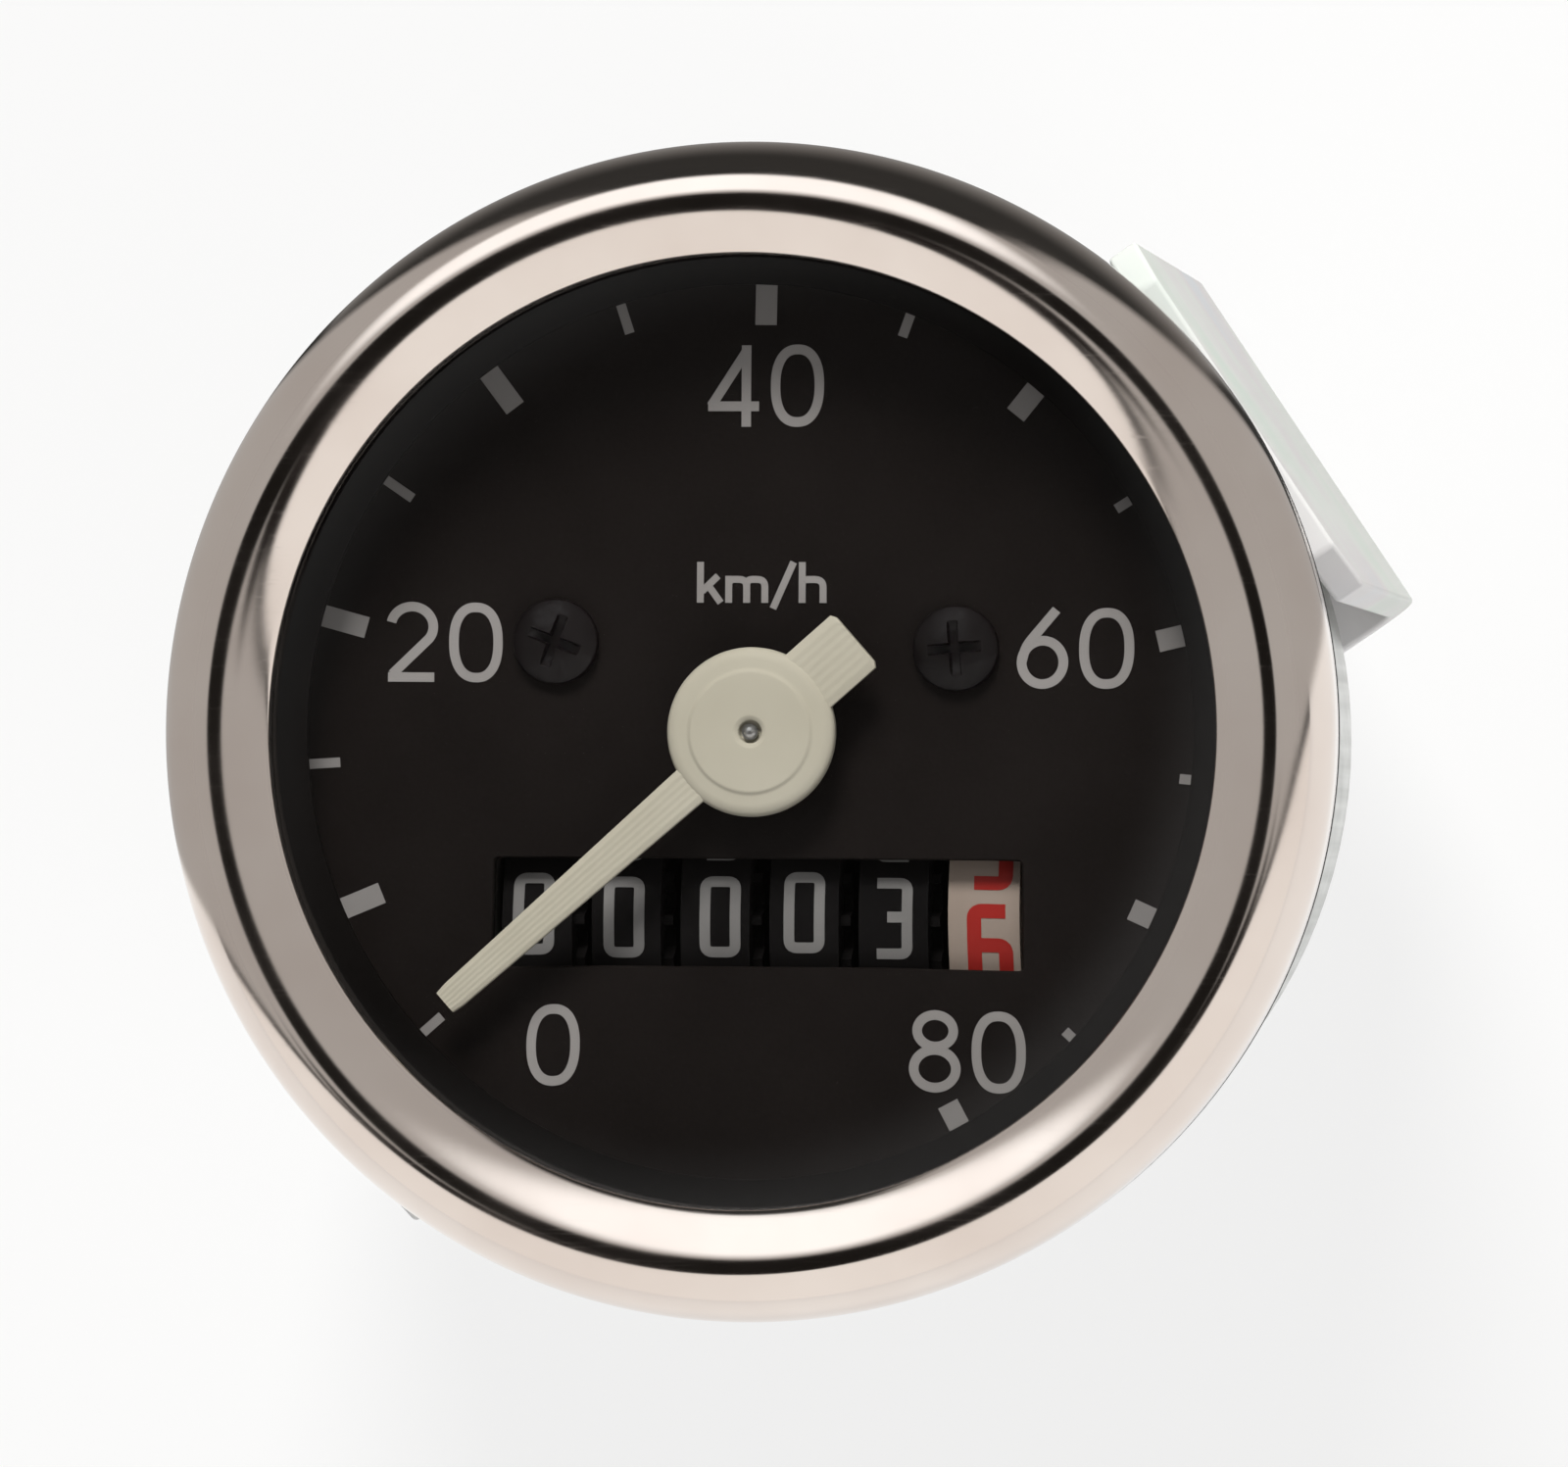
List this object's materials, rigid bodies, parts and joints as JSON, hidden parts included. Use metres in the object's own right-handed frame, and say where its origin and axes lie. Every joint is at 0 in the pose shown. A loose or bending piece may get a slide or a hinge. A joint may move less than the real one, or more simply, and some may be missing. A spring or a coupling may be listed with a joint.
{
  "type": "vintage speedometer",
  "caption": "Round panel speedometer for a small motorcycle: chrome bezel, black dial, ivory pointer, drum odometer, clamping strap and cable nipple.",
  "frame": {"origin": "centre of the panel seat, on the underside of the panel gasket", "axes": "+Z out of the dial towards the reader, +Y towards the 40 mark at the top, +X to the reader's right"},
  "size_m": [0.0532, 0.052, 0.0561],
  "materials": {
    "chrome": "bright chrome plating on spun steel",
    "glass": "clear flat glass",
    "black_plastic": "matt black moulding",
    "rubber": "black rubber",
    "zinc": "zinc-plated steel with a faint iridescence",
    "steel": "turned bright steel",
    "black_steel": "blackened steel",
    "dial_black": "satin black lacquer with pale print",
    "ivory": "ivory moulding",
    "drum_black": "black moulding with pale figures",
    "drum_white": "cream moulding with red figures",
    "gear_plastic": "natural nylon",
    "brass": "turned brass",
    "aluminium": "plain aluminium",
    "magnet": "ground cast magnet"
  },
  "bodies": {
    "housing": {"panel_gasket": "rubber", "case": "zinc", "bezel": "chrome", "lens": "glass", "lens_seal": "rubber", "spacer_ring": "black_plastic", "dial": "dial_black", "dial_screws": "black_steel", "pointer_bush": "brass", "spring_stud": "brass", "stop_pin": "steel", "top_plate": "aluminium", "upper_pillars": "brass", "bridge_plate": "aluminium", "lower_pillars": "brass", "movement_screws": "steel", "base_plate": "aluminium", "spindle_bush": "brass", "thrust_washer": "brass", "cross_shaft_posts": "aluminium", "left_cheek": "aluminium", "right_cheek": "aluminium", "drum_shaft": "steel", "pinion_shaft": "steel", "cable_nipple": "brass", "mounting_studs": "zinc", "bracket": "zinc", "spring_washers": "zinc", "nuts": "zinc"},
    "pointer_set": {"pointer": "ivory", "pointer_shaft": "steel", "drag_cup": "aluminium", "hairspring": "steel"},
    "spindle_set": {"drive_spindle": "steel", "magnet": "magnet", "magnet_carrier": "steel", "retaining_ring": "black_steel"},
    "cross_set": {"cross_shaft": "brass"},
    "upright_set": {"upright_shaft": "brass"},
    "drum_1_set": {"drum_1": "drum_black"},
    "drum_2_set": {"drum_2": "drum_black"},
    "drum_3_set": {"drum_3": "drum_black"},
    "drum_4_set": {"drum_4": "drum_black"},
    "drum_5_set": {"drum_5": "drum_black"},
    "drum_6_set": {"drum_6": "drum_white"},
    "pinion_1_set": {"carry_pinion_1": "gear_plastic"},
    "pinion_2_set": {"carry_pinion_2": "gear_plastic"},
    "pinion_3_set": {"carry_pinion_3": "gear_plastic"},
    "pinion_4_set": {"carry_pinion_4": "gear_plastic"},
    "pinion_5_set": {"carry_pinion_5": "gear_plastic"}
  },
  "joints": [
    {"name": "pointer_swing", "type": "hinge", "parent": "housing", "child": "pointer_set", "pos_m": [0, 0, 0], "axis": [0, 0, -1], "range_deg": [0, 285], "stiffness_Nm_per_rad": 0.00002, "springref_deg": -8.59},
    {"name": "spindle_turn", "type": "hinge", "parent": "housing", "child": "spindle_set", "pos_m": [0, 0, 0], "axis": [0, 0, 1], "continuous": true},
    {"name": "cross_turn", "type": "hinge", "parent": "housing", "child": "cross_set", "pos_m": [0, -0.00738, -0.02903], "axis": [1, 0, 0], "continuous": true},
    {"name": "upright_turn", "type": "hinge", "parent": "housing", "child": "upright_set", "pos_m": [0.01395, -0.00357, 0], "axis": [0, 0, 1], "continuous": true},
    {"name": "drum_6_turn", "type": "hinge", "parent": "housing", "child": "drum_6_set", "pos_m": [0, -0.00835, -0.0087], "axis": [1, 0, 0], "continuous": true},
    {"name": "drum_5_turn", "type": "hinge", "parent": "housing", "child": "drum_5_set", "pos_m": [0, -0.00835, -0.0087], "axis": [1, 0, 0], "continuous": true},
    {"name": "drum_4_turn", "type": "hinge", "parent": "housing", "child": "drum_4_set", "pos_m": [0, -0.00835, -0.0087], "axis": [1, 0, 0], "continuous": true},
    {"name": "drum_3_turn", "type": "hinge", "parent": "housing", "child": "drum_3_set", "pos_m": [0, -0.00835, -0.0087], "axis": [1, 0, 0], "continuous": true},
    {"name": "drum_2_turn", "type": "hinge", "parent": "housing", "child": "drum_2_set", "pos_m": [0, -0.00835, -0.0087], "axis": [1, 0, 0], "continuous": true},
    {"name": "drum_1_turn", "type": "hinge", "parent": "housing", "child": "drum_1_set", "pos_m": [0, -0.00835, -0.0087], "axis": [1, 0, 0], "continuous": true},
    {"name": "pinion_5_turn", "type": "hinge", "parent": "housing", "child": "pinion_5_set", "pos_m": [0, -0.01645, -0.0087], "axis": [1, 0, 0], "continuous": true},
    {"name": "pinion_4_turn", "type": "hinge", "parent": "housing", "child": "pinion_4_set", "pos_m": [0, -0.01645, -0.0087], "axis": [1, 0, 0], "continuous": true},
    {"name": "pinion_3_turn", "type": "hinge", "parent": "housing", "child": "pinion_3_set", "pos_m": [0, -0.01645, -0.0087], "axis": [1, 0, 0], "continuous": true},
    {"name": "pinion_2_turn", "type": "hinge", "parent": "housing", "child": "pinion_2_set", "pos_m": [0, -0.01645, -0.0087], "axis": [1, 0, 0], "continuous": true},
    {"name": "pinion_1_turn", "type": "hinge", "parent": "housing", "child": "pinion_1_set", "pos_m": [0, -0.01645, -0.0087], "axis": [1, 0, 0], "continuous": true}
  ],
  "couplings": [
    {"joint": "cross_turn", "follows": "spindle_turn", "ratio": -0.1},
    {"joint": "upright_turn", "follows": "spindle_turn", "ratio": -0.01},
    {"joint": "drum_6_turn", "follows": "spindle_turn", "ratio": 0.001},
    {"joint": "drum_5_turn", "follows": "spindle_turn", "ratio": 0.0001},
    {"joint": "drum_4_turn", "follows": "spindle_turn", "ratio": 0.00001},
    {"joint": "drum_3_turn", "follows": "spindle_turn", "ratio": 0.000001},
    {"joint": "drum_2_turn", "follows": "spindle_turn", "ratio": 0.0000001},
    {"joint": "drum_1_turn", "follows": "spindle_turn", "ratio": 0.00000001},
    {"joint": "pinion_5_turn", "follows": "spindle_turn", "ratio": -0.00025},
    {"joint": "pinion_4_turn", "follows": "spindle_turn", "ratio": -0.000025},
    {"joint": "pinion_3_turn", "follows": "spindle_turn", "ratio": -0.0000025},
    {"joint": "pinion_2_turn", "follows": "spindle_turn", "ratio": -0.00000025},
    {"joint": "pinion_1_turn", "follows": "spindle_turn", "ratio": -0.000000025}
  ]
}
